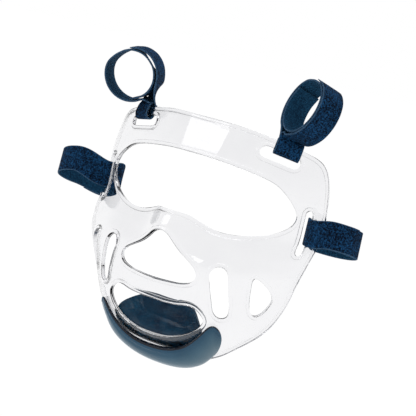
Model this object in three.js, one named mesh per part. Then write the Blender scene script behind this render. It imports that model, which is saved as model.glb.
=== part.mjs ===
// Detachable clear face guard for martial-arts headgear.
// One moulded clear shell wraps the face from forehead to chin.  Four webbing
// loops, threaded through slots at its corners, close round the headgear, and a
// soft chin bumper (outside) and chin pad (inside) clasp its lower lip.
// Millimetres.  +Z up, the wearer looks along -Y, +X is the wearer's left.
// Origin: on the centre plane, level with the lower edge of the eye opening,
// inside the face hollow 15 mm behind the bridge of the nose.
import * as THREE from 'three';

// ---------------------------------------------------------------- dimensions
const SHELL_T = 2.4;          // wall of the clear shell
const SHELL_CHAMFER = 0.85;   // broken edge round every opening
const PAD_GAP = 0.7;          // air between the soft pieces and the shell
const BUMPER_H = 7.0;         // how far the bumper stands off the shell
const PAD_H = 10.5;           // thickness of the chin pad
const WEB_W = 20.0;           // webbing width
const WEB_T = 1.6;            // webbing thickness

// Shell surface.  s is the arc length from the centre plane round the face at a
// height z; y0 is the depth of the centre line; a* is the turn of the wall in
// degrees at s = 30, 60 and 100 mm.
const CENTRE_LINE = [ // z, y0
  [-112, 33], [-108, 24.2], [-104, 16.4], [-100, 10.2], [-96, 5.4], [-91, 1.2], [-84, -3.4],
  [-75, -6.5], [-60, -9.8], [-45, -13.6], [-30, -15.2], [-15, -9.6], [0, -3.0],
  [15, -3.0], [30, -3.6], [45, -1.0], [60, 3.9], [76, 9.8], [90, 15],
];
const WALL_TURN = [ // z, a30, a60, a100
  [-112, 26.0, 61.0, 75.0], [-90, 24.0, 55.5, 70.0], [-76, 20.6, 47.0, 62.5], [-60, 18.6, 42.0, 58.5], [-35, 18.0, 36.2, 54.0],
  [-10, 21.0, 32.2, 51.0], [20, 25.2, 30.0, 51.5], [50, 26.0, 29.8, 56.0], [90, 24.5, 30.6, 64.0],
];
const NOSE = { rise: 12.2, s: 14.0, z: -5.0, h: 28.0 };  // bridge of the nose

// Half outlines in (s, z), from the centre plane outwards; each is mirrored.
const OUTLINE = [ // top centre -> rear edge -> chin centre
  [0, 72.2], [16, 72], [31, 71.2], [46, 69.2], [62, 66.6], [78, 63.4], [89, 60.4], [96.5, 56],
  [102.5, 48.5], [106.5, 39], [109, 28], [109.5, 16], [108.6, 2], [107.2, -12], [106.2, -26],
  [104.4, -40], [100.6, -52], [95, -63], [87, -72.5], [77, -80.5], [66, -87.5], [54, -94],
  [40, -99], [22, -102], [0, -103],
];
const EYE_TOP = [[0, 46.2], [20, 45.2], [38, 43], [54, 40.4], [66, 37.2], [75, 31.6], [82, 25], [86, 18.5]];
const EYE_LOW = [[85, 12], [80, 7], [72, 2.6], [62, -0.6], [50, -2.9], [38, -3.6], [28, -2.4], [20, 0.2], [12, 3.2], [0, 4.4]];
const VENT = [[0, -10.2], [5.5, -12], [10.5, -17], [16, -22.2], [23, -27], [29, -31.4], [31.5, -36], [29.5, -41.4], [22, -44.4], [11, -45.4], [0, -45.8]];
const MOUTH_TOP = [[0, -61], [10, -61.2], [20, -60.6], [28, -59.2], [33.5, -60.2], [38, -63.6]];
const MOUTH_LOW = [[40.8, -68], [38.4, -73.6], [32, -79.4], [22.5, -84.8], [12, -87.8], [0, -88.6]];
const CHEEK = [[43.2, -27], [48, -26], [52.4, -28.8], [54.8, -36], [56.4, -45], [58.2, -55], [57.4, -61.8], [52, -63.8], [47.2, -60.6], [44.6, -51], [42.2, -41], [40.4, -32]];
const OUTER_VENT = [[72.4, -29.2], [76.4, -30], [83.4, -34.6], [88.2, -39.4], [90, -44.6], [87.6, -50.2], [82.4, -56.4], [77.6, -58], [74.2, -54.6], [72.6, -48], [72, -38]];
// Straight slots: two centre-line ends (s, z) and the half width.
const TOP_SLOT = { a: [50.5, 58.3], b: [74.0, 54.3], r: 4.1 };
const SIDE_SLOT = { a: [95.4, -6.0], b: [95.4, 21.0], r: 3.1 };
// Soft pieces on the lip, half outlines in (s, z).
const BUMPER = [[0, -93.6], [12, -92.8], [22, -90], [31, -85.2], [40, -78], [46, -72.4], [50.6, -71.2], [54.4, -75], [55, -82], [51.4, -89.4], [43.4, -96], [33, -101.8], [19, -105.8], [0, -107]];
// The bumper sits a little askew: moved and leaning to the wearer's left, and fuller there.
const BUMPER_SET = { wide: 0.975, curl: 1.3, lean: -0.2, ds: 3.6, dz: -1.9, turn: 0.067, swell: 0.38, taper: 0.93 };
const PAD = [[0, -73.6], [14, -73.2], [27, -72.8], [34.5, -74.6], [39, -78.4], [41.2, -83], [40.6, -88.6], [35.5, -93.6], [24, -98.6], [0, -100.6]];

// Webbing loops.
const LAP_GAP = 0.55;         // air between two layers of webbing
const LEAN_TO = [0.433, -0.891, 0.136];       // where a loose inner layer's edge turns
// bar: place on the slot's bar (s); neck: width gathered there; width: across the bowed tape; fork: where the inner and
// the outer layer join the ring; innerFrom, outerTo: the free ends, all in degrees round the
// ring from its foot; sag: how far the inner layer stands clear of the outer on the way up.
const TOP_LOOPS = [
  { name: 'strap_top_right', sx: 1, bar: 65.6, neck: 19.5, width: 18.8, radius: 22.2, fork: [-21, 21], innerFrom: -118, outerTo: 184, sag: 0,
    centre: [67.6, 35.9, 92.4], axis: [-0.58, -0.755, 0.307] },
  { name: 'strap_top_left', sx: -1, bar: 66.9, neck: 15.5, width: 20, radius: 20.1, fork: [2, 42], innerFrom: -24, outerTo: 160, sag: 3.4,
    centre: [-73.9, 27, 87.8], axis: [0.228, -0.97, -0.081] },
];
const SIDE_LOOPS = [ // side, oval centre in plan from the slot, half axes, turn of the long axis, tilt, seat above the slot's middle, rise of the far end, start of the lap
  { name: 'strap_side_right', sx: 1, c: [16.4, 12.6], a: 19.7, b: 20.2, turn: 26, tilt: 14.5, seat: 1.2, lift: 0, slot: 192, lapFrom: 250 },
  { name: 'strap_side_left', sx: -1, c: [-20.1, 3.6], a: 24.2, b: 17.6, turn: 26, tilt: 24, seat: 0, lift: 5.6, slot: -47, lapFrom: 20 },
];

// ------------------------------------------------------------------- surface
const lerpTable = (table, z, k) => {            // smooth (Catmull-Rom) table read
  const n = table.length;
  let i = 0;
  while (i < n - 2 && z > table[i + 1][0]) i++;
  const z0 = table[i][0], z1 = table[i + 1][0], h = z1 - z0;
  const slope = (j) => {
    const a = Math.max(0, j - 1), b = Math.min(n - 1, j + 1);
    return (table[b][k] - table[a][k]) / (table[b][0] - table[a][0]);
  };
  const u = (z - z0) / h, m0 = slope(i) * h, m1 = slope(i + 1) * h, u2 = u * u, u3 = u2 * u;
  return (2 * u3 - 3 * u2 + 1) * table[i][k] + (u3 - 2 * u2 + u) * m0 + (-2 * u3 + 3 * u2) * table[i + 1][k] + (u3 - u2) * m1;
};
const wallTurn = (z) => {                        // turn = g0 s + g1 s^2 + g2 s^3
  const r = Math.PI / 180;
  const t = [1, 2, 3].map((k) => lerpTable(WALL_TURN, z, k) * r);
  const [p, q, w] = [t[0] / 30, t[1] / 60, t[2] / 100];
  const d1 = (q - p) / 30, d2 = (w - q) / 40;
  const g2 = (d2 - d1) / 70;
  const g1 = d1 - g2 * 90;
  return [p - g1 * 30 - g2 * 900, g1, g2];
};
const surface = (s, z) => {
  const [g0, g1, g2] = wallTurn(z), a = Math.abs(s), N = 16, h = a / N;
  let x = 0, y = 0;
  for (let i = 0; i <= N; i++) {
    const u = i * h, th = u * (g0 + u * (g1 + u * g2)), w = (i === 0 || i === N) ? 1 : (i % 2 ? 4 : 2);
    x += w * Math.cos(th); y += w * Math.sin(th);
  }
  x *= h / 3 * Math.sign(s || 1); y *= h / 3;
  const n = NOSE.rise * Math.exp(-((s / NOSE.s) ** 2) - ((z - NOSE.z) / NOSE.h) ** 2);
  return new THREE.Vector3(x, y + lerpTable(CENTRE_LINE, z, 1) - n, z);
};
const frameAt = (s, z) => {                      // point, tangents, outward normal
  const e = 0.05, p = surface(s, z);
  const ts = surface(s + e, z).sub(surface(s - e, z)).normalize();
  const tz = surface(s, z + e).sub(surface(s, z - e)).normalize();
  const n = new THREE.Vector3().crossVectors(ts, tz).normalize();   // points away from the face (-Y in front)
  return { p, ts, tz, n };
};
const offsetPoint = (s, z, h) => { const f = frameAt(s, z); return f.p.addScaledVector(f.n, h); };

// ------------------------------------------------------------ plane outlines
const closedCurve = (pts, step) => {             // smooth closed loop, even steps
  const c = new THREE.CatmullRomCurve3(pts.map(([s, z]) => new THREE.Vector3(s, z, 0)), true, 'centripetal');
  const n = Math.max(8, Math.round(c.getLength() / step));
  return c.getSpacedPoints(n).slice(0, n).map((v) => [v.x, v.y]);
};
const mirrored = (half) => [...half, ...half.slice(1, -1).reverse().map(([s, z]) => [-s, z])];
const flip = (loop) => loop.map(([s, z]) => [-s, z]).reverse();
const slotLoop = ({ a, b, r }, step) => {
  const d = [b[0] - a[0], b[1] - a[1]], L = Math.hypot(...d), u = [d[0] / L, d[1] / L], v = [-u[1], u[0]];
  const out = [], nl = Math.round(L / step), na = Math.max(4, Math.round(Math.PI * r / step * 1.3));
  for (let i = 0; i < nl; i++) out.push([a[0] + d[0] * i / nl - v[0] * r, a[1] + d[1] * i / nl - v[1] * r]);
  for (let i = 0; i < na; i++) { const t = -Math.PI / 2 + Math.PI * i / na; out.push([b[0] + r * (Math.cos(t) * u[0] + Math.sin(t) * v[0]), b[1] + r * (Math.cos(t) * u[1] + Math.sin(t) * v[1])]); }
  for (let i = 0; i < nl; i++) out.push([b[0] - d[0] * i / nl + v[0] * r, b[1] - d[1] * i / nl + v[1] * r]);
  for (let i = 0; i < na; i++) { const t = Math.PI / 2 + Math.PI * i / na; out.push([a[0] + r * (Math.cos(t) * u[0] + Math.sin(t) * v[0]), a[1] + r * (Math.cos(t) * u[1] + Math.sin(t) * v[1])]); }
  return out;
};
const area = (l) => l.reduce((t, p, i) => { const q = l[(i + 1) % l.length]; return t + p[0] * q[1] - q[0] * p[1]; }, 0) / 2;
const oriented = (l, ccw) => ((area(l) > 0) === ccw ? l : [...l].reverse());
const inset = (l, d) => l.map((p, i) => {        // moves a loop to its left by d
  const n = l.length, a = l[(i + n - 1) % n], b = l[(i + 1) % n];
  const tx = b[0] - a[0], tz = b[1] - a[1], L = Math.hypot(tx, tz);
  return [p[0] - tz / L * d, p[1] + tx / L * d];
});
const insideLoop = (l, x, y) => {
  let c = false;
  for (let i = 0, j = l.length - 1; i < l.length; j = i++) {
    const [xi, yi] = l[i], [xj, yj] = l[j];
    if ((yi > y) !== (yj > y) && x < (xj - xi) * (y - yi) / (yj - yi) + xi) c = !c;
  }
  return c;
};
const distLoop = (l, x, y) => {
  let m = 1e9;
  for (let i = 0; i < l.length; i++) {
    const [ax, ay] = l[i], [bx, by] = l[(i + 1) % l.length], dx = bx - ax, dy = by - ay;
    const t = Math.min(1, Math.max(0, ((x - ax) * dx + (y - ay) * dy) / (dx * dx + dy * dy)));
    m = Math.min(m, Math.hypot(x - ax - t * dx, y - ay - t * dy));
  }
  return m;
};

// Delaunay triangles of the area between loops (the first is the outside).
const triangulate = (loops, grid, margin) => {
  const pts = [], rings = [];
  for (const l of loops) { rings.push(l.map((p) => pts.push([...p]) - 1)); }
  const [x0, x1] = [Math.min(...loops[0].map((p) => p[0])), Math.max(...loops[0].map((p) => p[0]))];
  const [y0, y1] = [Math.min(...loops[0].map((p) => p[1])), Math.max(...loops[0].map((p) => p[1]))];
  const inDomain = (x, y) => insideLoop(loops[0], x, y) && !loops.slice(1).some((l) => insideLoop(l, x, y));
  let row = 0;
  for (let y = y1 - grid / 2; y > y0; y -= grid * 0.87, row++) {
    for (let k = -60; k <= 60; k++) {
      const x = (k + (row % 2 ? 0.5 : 0)) * grid;
      if (x < x0 || x > x1 || !inDomain(x, y)) continue;
      if (loops.some((l) => distLoop(l, x, y) < margin)) continue;
      pts.push([x, y]);
    }
  }
  const P = pts.map(([x, y], i) => [x + 1e-5 * Math.sin(i * 12.9898), y + 1e-5 * Math.sin(i * 78.233)]);
  const n = P.length;
  P.push([-5000, -5000], [5000, -5000], [0, 8000]);
  const circ = (a, b, c) => {
    const [ax, ay] = P[a], [bx, by] = P[b], [cx, cy] = P[c];
    const d = 2 * (ax * (by - cy) + bx * (cy - ay) + cx * (ay - by));
    const A = ax * ax + ay * ay, B = bx * bx + by * by, C = cx * cx + cy * cy;
    const ux = (A * (by - cy) + B * (cy - ay) + C * (ay - by)) / d, uy = (A * (cx - bx) + B * (ax - cx) + C * (bx - ax)) / d;
    return { v: [a, b, c], ux, uy, r2: (ax - ux) ** 2 + (ay - uy) ** 2 };
  };
  let tris = [circ(n, n + 1, n + 2)];
  for (let i = 0; i < n; i++) {
    const [x, y] = P[i], edges = new Map(), keep = [];
    for (const t of tris) {
      if ((x - t.ux) ** 2 + (y - t.uy) ** 2 < t.r2) {
        for (let k = 0; k < 3; k++) {
          const a = t.v[k], b = t.v[(k + 1) % 3], rev = b * 100000 + a;
          if (edges.has(rev)) edges.delete(rev); else edges.set(a * 100000 + b, [a, b]);
        }
      } else keep.push(t);
    }
    tris = keep;
    for (const [a, b] of edges.values()) tris.push(circ(a, b, i));
  }
  const faces = [];
  for (const { v } of tris) {
    if (v.some((k) => k >= n)) continue;
    const cx = (pts[v[0]][0] + pts[v[1]][0] + pts[v[2]][0]) / 3, cy = (pts[v[0]][1] + pts[v[1]][1] + pts[v[2]][1]) / 3;
    if (!inDomain(cx, cy)) continue;
    const A = (pts[v[1]][0] - pts[v[0]][0]) * (pts[v[2]][1] - pts[v[0]][1]) - (pts[v[2]][0] - pts[v[0]][0]) * (pts[v[1]][1] - pts[v[0]][1]);
    faces.push(A > 0 ? v : [v[0], v[2], v[1]]);
  }
  const have = new Set();
  for (const f of faces) for (let k = 0; k < 3; k++) have.add(f[k] * 100000 + f[(k + 1) % 3]);
  for (const r of rings) for (let i = 0; i < r.length; i++) {
    const a = r[i], b = r[(i + 1) % r.length];
    if (!have.has(a * 100000 + b) && !have.has(b * 100000 + a)) throw new Error(`outline edge missing near ${pts[a]}`);
  }
  return { pts, rings, faces };
};

// A plate on the surface: the front face at front(s,z,d), the back face at
// back(s,z,d) (heights along the outward normal, d the distance to the edge),
// with `walls` rings of edge points [inset from the edge loop, blend front->back].
const plate = (edgeLoops, insetBy, grid, margin, front, back, walls) => {
  const loops = edgeLoops.map((l, i) => oriented(l, i === 0));
  const inner = loops.map((l) => inset(l, insetBy));
  const { pts, rings, faces } = triangulate(inner, grid, margin);
  const pos = [], idx = [], push = (v) => pos.push(v.x, v.y, v.z) / 3 - 1;
  const dist = (s, z) => Math.min(...loops.map((l) => distLoop(l, s, z)));
  const F = pts.map(([s, z]) => push(offsetPoint(s, z, front(s, z, dist(s, z)))));
  const B = pts.map(([s, z]) => push(offsetPoint(s, z, back(s, z, dist(s, z)))));
  for (const [a, b, c] of faces) { idx.push(F[a], F[b], F[c], B[a], B[c], B[b]); }
  rings.forEach((ring, k) => {
    const cols = [ring.map((i) => F[i])];
    for (const [move, mix] of walls) {
      const l = inset(loops[k], move);
      cols.push(l.map(([s, z], i) => {
        const [ps, pz] = inner[k][i], d = insetBy;
        return push(offsetPoint(s, z, front(ps, pz, d) * (1 - mix) + back(ps, pz, d) * mix));
      }));
    }
    cols.push(ring.map((i) => B[i]));
    const n = ring.length;
    for (let c = 0; c + 1 < cols.length; c++) for (let i = 0; i < n; i++) {
      const j = (i + 1) % n, [a, b, d, e] = [cols[c][i], cols[c][j], cols[c + 1][i], cols[c + 1][j]];
      idx.push(b, a, d, b, d, e);
    }
  });
  return geometry(pos, idx);
};
const geometry = (pos, idx) => {
  const g = new THREE.BufferGeometry();
  g.setAttribute('position', new THREE.Float32BufferAttribute(pos, 3));
  let v6 = 0;
  const P = (i) => new THREE.Vector3(pos[3 * i], pos[3 * i + 1], pos[3 * i + 2]);
  for (let i = 0; i < idx.length; i += 3) v6 += P(idx[i]).dot(P(idx[i + 1]).cross(P(idx[i + 2])));
  if (v6 < 0) for (let i = 0; i < idx.length; i += 3) [idx[i + 1], idx[i + 2]] = [idx[i + 2], idx[i + 1]];
  g.setIndex(idx);
  g.computeVertexNormals();
  return g;
};

// --------------------------------------------------------------- clear shell
const eye = closedCurve(mirrored([...EYE_TOP, ...EYE_LOW]), 3.6);
const vent = closedCurve(mirrored(VENT), 3.2);
const mouth = closedCurve(mirrored([...MOUTH_TOP, ...MOUTH_LOW]), 3.2);
const cheek = closedCurve(CHEEK, 3.0);
const outerVent = closedCurve(OUTER_VENT, 3.0);
const topSlot = slotLoop(TOP_SLOT, 3.0);
const sideSlot = slotLoop(SIDE_SLOT, 2.8);
const shellLoops = [closedCurve(mirrored(OUTLINE), 4.2), eye, vent, mouth,
  cheek, flip(cheek), outerVent, flip(outerVent), topSlot, flip(topSlot), sideSlot, flip(sideSlot)];
const chamferMix = SHELL_CHAMFER / SHELL_T;
const shellGeometry = plate(shellLoops, SHELL_CHAMFER, 8.0, 3.2, () => 0, () => -SHELL_T,
  [[0, chamferMix], [0, 1 - chamferMix]]);

// ------------------------------------------------------------ soft chin parts
const pillow = (d, r) => Math.sqrt(Math.max(0, 1 - (1 - Math.min(1, d / r)) ** 2));
const askew = ([x, z]) => {
  const k = BUMPER_SET, w = x * k.wide, h = z + k.curl * (w / 50) ** 2, s = w + k.lean * (h + 90) + k.ds;
  return [s, h + k.dz + k.turn * s];
};
const bumperLoop = closedCurve(mirrored(BUMPER).map(askew), 4.0);
const bumperGeometry = plate([bumperLoop], 0.9, 5.2, 2.6,
  (s, z, d) => PAD_GAP + 1.4 + (BUMPER_H - 1.4) * pillow(d, 7.5) * (1 - BUMPER_SET.taper * Math.min(1, Math.abs((s - BUMPER_SET.ds) / 54)) ** 2.2) * (1 + BUMPER_SET.swell * s / 54), () => PAD_GAP + 0.2, [[0, 0.45]]);
const bowl = (s, z) => {                       // how far the pad's front face sinks behind the shell
  const t = Math.min(1, Math.max(0, (z + 88.8) / 15.2));
  const depth = t < 0.34 ? 11.0 * (t / 0.34) ** 0.9 : 11.0 + 13.5 * ((t - 0.34) / 0.66) ** 1.1;
  return depth * (1 - Math.min(1, Math.abs(s) / 43) ** 4);
};
const padFront = (s, z, d) => -(SHELL_T + PAD_GAP + bowl(s, z) + 1.4 * (1 - pillow(d, 4)));
const padLoop = closedCurve(mirrored(PAD), 4.2);
const padGeometry = plate([padLoop], 0.9, 6.5, 2.8, padFront,
  (s, z, d) => padFront(s, z, d) - 2.0 - (PAD_H - 2.0) * pillow(d, 8), [[0, 0.5]]);

// ------------------------------------------------------------- webbing loops
// A strip of webbing through stations { c: centre, w: width direction, k: width }.
const strip = (stations) => {
  const pos = [], idx = [], n = stations.length;
  stations.forEach((st, i) => {
    const a = stations[Math.max(0, i - 1)].c, b = stations[Math.min(n - 1, i + 1)].c;
    const t = b.clone().sub(a).normalize();
    const w = st.w.clone().addScaledVector(t, -st.w.dot(t)).normalize();
    const th = new THREE.Vector3().crossVectors(t, w).normalize();
    for (const [p, q] of [[-1, -1], [1, -1], [1, 1], [-1, 1]]) {
      const v = st.c.clone().addScaledVector(w, p * st.k / 2).addScaledVector(th, q * WEB_T / 2);
      pos.push(v.x, v.y, v.z);
    }
  });
  for (let i = 0; i + 1 < n; i++) for (let k = 0; k < 4; k++) {
    const a = i * 4 + k, b = i * 4 + (k + 1) % 4, c = a + 4, d = b + 4;
    idx.push(a, b, d, a, d, c);
  }
  const e = (n - 1) * 4;
  idx.push(0, 2, 1, 0, 3, 2, e, e + 1, e + 2, e, e + 2, e + 3);
  return geometry(pos, idx);
};
const smooth = (x) => { const t = Math.min(1, Math.max(0, x)); return t * t * (3 - 2 * t); };
const evenRows = (P, step) => {                  // even steps along a centripetal Catmull-Rom curve through rows of numbers
  const n = P.length, D = P[0].length, fine = [];
  const mix = (...terms) => Array.from({ length: D }, (_, k) => terms.reduce((t, [w, p]) => t + w * p[k], 0));
  for (let i = 0; i + 1 < n; i++) {
    const p1 = P[i], p2 = P[i + 1], p0 = i > 0 ? P[i - 1] : mix([2, p1], [-1, p2]), p3 = i + 2 < n ? P[i + 2] : mix([2, p2], [-1, p1]);
    const [d0, d1, d2] = [[p0, p1], [p1, p2], [p2, p3]].map(([a, b]) => Math.max(1e-4, a.reduce((t, v, k) => t + (b[k] - v) ** 2, 0) ** 0.25));
    const t1 = mix([1, p1], [-1, p0]).map((v, k) => d1 * (v / d0 - (p2[k] - p0[k]) / (d0 + d1) + (p2[k] - p1[k]) / d1));
    const t2 = mix([1, p2], [-1, p1]).map((v, k) => d1 * (v / d1 - (p3[k] - p1[k]) / (d1 + d2) + (p3[k] - p2[k]) / d2));
    for (let j = 0; j < 64; j++) {
      const u = j / 64;
      fine.push(mix([1, p1], [u, t1], [u * u, mix([-3, p1], [3, p2], [-2, t1], [-1, t2])], [u * u * u, mix([2, p1], [-2, p2], [1, t1], [1, t2])]));
    }
  }
  fine.push(P[n - 1]);
  const L = [0];
  for (let i = 1; i < fine.length; i++) L.push(L[i - 1] + Math.sqrt(fine[i].reduce((t, v, k) => t + (v - fine[i - 1][k]) ** 2, 0)));
  const total = L[L.length - 1], m = Math.max(8, Math.round(total / step)), out = [];
  for (let i = 0, j = 0; i <= m; i++) {
    const x = total * i / m;
    while (j < L.length - 2 && L[j + 1] < x) j++;
    const u = Math.min(1, (x - L[j]) / (L[j + 1] - L[j]));
    out.push(mix([1 - u, fine[j]], [u, fine[j + 1]]));
  }
  return out;
};

const topLoop = ({ sx, bar, neck, width, radius, fork, innerFrom, outerTo, sag, centre, axis }) => {
  const sBar = bar * sx, zBar = 63.2 - (bar - 64.2) * 0.12, f = frameAt(sBar, zBar);
  const slope = (TOP_SLOT.b[1] - TOP_SLOT.a[1]) / (TOP_SLOT.b[0] - TOP_SLOT.a[0]);
  const W0 = f.ts.clone().multiplyScalar(sx).addScaledVector(f.tz, slope).normalize();   // along the slot, outwards
  const P0 = new THREE.Vector3().crossVectors(f.n, W0).normalize();
  if (P0.z < 0) P0.negate();
  const N0 = new THREE.Vector3().crossVectors(W0, P0);
  const B = f.p.clone().addScaledVector(f.n, -SHELL_T / 2);
  const C = new THREE.Vector3(...centre), A = new THREE.Vector3(...axis).normalize();
  if (A.dot(W0) < 0) A.negate();
  const V = new THREE.Vector3(...LEAN_TO).normalize();
  if (V.dot(A) < 0) V.negate();
  const P1 = C.clone().sub(B).addScaledVector(P0, -4.2); P1.addScaledVector(A, -P1.dot(A)).normalize();
  const N1 = new THREE.Vector3().crossVectors(A, P1);
  const row = (c, w, k) => [c.x, c.y, c.z, w.x, w.y, w.z, k];
  const ring = (deg, rad, lean = 0, k = width) => {
    const t = deg * Math.PI / 180, w = A.clone().multiplyScalar(1 - lean).addScaledVector(V, lean).normalize();
    return row(C.clone().addScaledVector(N1, rad * Math.sin(t)).addScaledVector(P1, -rad * Math.cos(t)), w, k);
  };
  const wrap = ([q, p]) => row(B.clone().addScaledVector(P0, p).addScaledVector(N0, q), W0, neck);
  const r = radius, r1 = radius - WEB_T - LAP_GAP, half = 3.6, between = (width + neck) / 2;
  const loose = (deg) => (sag > 0 && deg > 30 && deg < 172 ? Math.sin(Math.PI * (deg - 30) / 142) ** 2 : 0);
  const rows = [];
  for (let i = 0, n = Math.round((188 - innerFrom) / 24); i <= n; i++) {      // inner layer, from its free end
    const deg = innerFrom + (188 - innerFrom) * i / n;
    rows.push(ring(deg, r1 - sag * loose(deg), loose(deg)));
  }
  rows.push(ring(205, r1 + 0.7), ring(222, r - 0.35));
  for (let i = 0, n = 5; i <= n; i++) rows.push(ring(240 + (104 + fork[0]) * i / n, r));
  rows.push(ring(360 + fork[0], r + 0.2, 0, between));
  for (const qp of [[-1.9, half + 3.2], [-3.0, half + 0.4], [-3.4, half - 2.5], [-3.3, -half + 0.6], [-2.0, -half - 1.6], [0, -half - 2.4],
    [2.0, -half - 1.6], [3.3, -half + 0.6], [3.4, half - 2.5], [3.0, half + 0.4], [1.9, half + 3.2]]) rows.push(wrap(qp));
  rows.push(ring(fork[1], r + 0.2, 0, between));
  for (let i = 0, n = Math.round((outerTo - fork[1] - 16) / 23); i <= n; i++) rows.push(ring(fork[1] + 16 + (outerTo - fork[1] - 16) * i / n, r));   // outer layer, to its free end
  return strip(evenRows(rows, 3.0).map(([x, y, z, a, b, c, k]) => ({ c: new THREE.Vector3(x, y, z), w: new THREE.Vector3(a, b, c), k })));
};

const sideLoop = ({ sx, c: from, a, b, turn, tilt, seat, lift, slot, lapFrom }) => {
  const t0 = turn * Math.PI / 180, E = new THREE.Vector3(Math.cos(t0), Math.sin(t0), 0), Dp = new THREE.Vector3(-Math.sin(t0), Math.cos(t0), 0);
  const f = frameAt(SIDE_SLOT.a[0] * sx, 7.5), mid = f.p.clone().addScaledVector(f.n, -SHELL_T / 2);
  const c = [mid.x + from[0], mid.y + from[1]];
  const at = (deg, inward) => {
    const t = deg * Math.PI / 180, u = (a - inward) * Math.cos(t), d = (b - inward) * Math.sin(t);
    const P = new THREE.Vector3(c[0], c[1], 0).addScaledVector(E, u).addScaledVector(Dp, d);
    const dSlot = (mid.x - c[0]) * Dp.x + (mid.y - c[1]) * Dp.y;
    let g = Math.abs(((deg - slot + 540) % 360) - 180);              // angle away from the slot
    const free = smooth((g - 12) / 60), k = tilt * Math.PI / 180;
    const away = Math.abs((P.x - mid.x) * E.x + (P.y - mid.y) * E.y) / 42;
    P.z = mid.z - Math.tan(k) * (d - dSlot) * (0.15 + 0.85 * free) + lift * smooth(1.4 * away) + seat * (1 - smooth(away));
    const w = new THREE.Vector3(0, 0, 1).addScaledVector(Dp, Math.tan(k) * free).normalize();
    return { c: P, w, k: WEB_W };
  };
  const lap0 = lapFrom, lap = 75, N = 54, out = [], gap = WEB_T + LAP_GAP;
  for (let i = 0; i <= N; i++) {
    const deg = lap0 + (360 + lap) * i / N;
    const inward = gap * (1 - smooth((deg - lap0 - lap) / 34));
    out.push(at(deg, inward));
  }
  return strip(out);
};

// ---------------------------------------------------------------------- part
const clear = new THREE.MeshStandardMaterial({ color: 0xe9ebec, roughness: 0.05, metalness: 0, transparent: true, opacity: 0.35 });
const slate = new THREE.MeshStandardMaterial({ color: 0x2c4557, roughness: 0.38, metalness: 0 });
const dark = new THREE.MeshStandardMaterial({ color: 0x131f2c, roughness: 0.5, metalness: 0 });
const navy = new THREE.MeshStandardMaterial({ color: 0x141f30, roughness: 0.85, metalness: 0 });

const group = new THREE.Group();
const add = (name, geo, material) => { const m = new THREE.Mesh(geo, material.clone()); m.name = name; group.add(m); };
add('face_shield', shellGeometry, clear);
add('chin_bumper', bumperGeometry, slate);
add('chin_pad', padGeometry, dark);
for (const loop of TOP_LOOPS) add(loop.name, topLoop(loop), navy);
for (const loop of SIDE_LOOPS) add(loop.name, sideLoop(loop), navy);

export default group;
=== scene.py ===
"""Looks of the clear face shield: a moulded clear shell with rolled rims, a
coated foam chin bumper and chin pad, and four loops of napped webbing.
Lengths are worked in millimetres and written to the meshes in metres."""

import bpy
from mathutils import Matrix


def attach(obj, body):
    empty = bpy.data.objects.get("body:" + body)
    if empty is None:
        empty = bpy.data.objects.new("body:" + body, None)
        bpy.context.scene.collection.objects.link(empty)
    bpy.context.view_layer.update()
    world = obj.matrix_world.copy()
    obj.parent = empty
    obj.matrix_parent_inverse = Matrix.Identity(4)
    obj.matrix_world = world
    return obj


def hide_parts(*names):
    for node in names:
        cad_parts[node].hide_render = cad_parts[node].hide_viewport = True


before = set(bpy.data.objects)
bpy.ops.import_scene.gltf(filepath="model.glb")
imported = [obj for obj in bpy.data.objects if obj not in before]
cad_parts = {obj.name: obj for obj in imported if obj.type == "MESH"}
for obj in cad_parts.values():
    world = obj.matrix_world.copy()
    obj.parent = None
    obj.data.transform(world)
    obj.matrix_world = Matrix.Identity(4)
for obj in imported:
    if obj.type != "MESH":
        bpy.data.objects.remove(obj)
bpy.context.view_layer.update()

import math

import bpy
import numpy as np
from mathutils import Matrix, Vector, kdtree
from mathutils.geometry import delaunay_2d_cdt

MM = 0.001

# ---------------------------------------------------------------- dimensions
SHELL_T = 2.4
RIM_R = 0.42            # radius of each edge of the rims
RIM_BEAD = 0.28         # the moulded rim stands this much proud of the wall
RIM_W = 2.3             # width of the moulded rim
PAD_GAP = 0.7
BUMPER_H = 7.0
PAD_H = 10.5
WEB_W = 20.0
WEB_T = 1.6
TAPE_T = 1.3             # the pressed tape itself, inside the space it takes up

CENTRE_LINE = [  # z, y0
    (-112, 33), (-108, 24.2), (-104, 16.4), (-100, 10.2), (-96, 5.4), (-91, 1.2), (-84, -3.4),
    (-75, -6.5), (-60, -9.8), (-45, -13.6), (-30, -15.2), (-15, -9.6), (0, -3.0),
    (15, -3.0), (30, -3.6), (45, -1.0), (60, 3.9), (76, 9.8), (90, 15)]
WALL_TURN = [  # z, turn at s = 30, 60 and 100 mm
    (-112, 26.0, 61.0, 75.0), (-90, 24.0, 55.5, 70.0), (-76, 20.6, 47.0, 62.5), (-60, 18.6, 42.0, 58.5),
    (-35, 18.0, 36.2, 54.0), (-10, 21.0, 32.2, 51.0), (20, 25.2, 30.0, 51.5), (50, 26.0, 29.8, 56.0),
    (90, 24.5, 30.6, 64.0)]
NOSE = dict(rise=12.2, s=14.0, z=-5.0, h=28.0)

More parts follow.
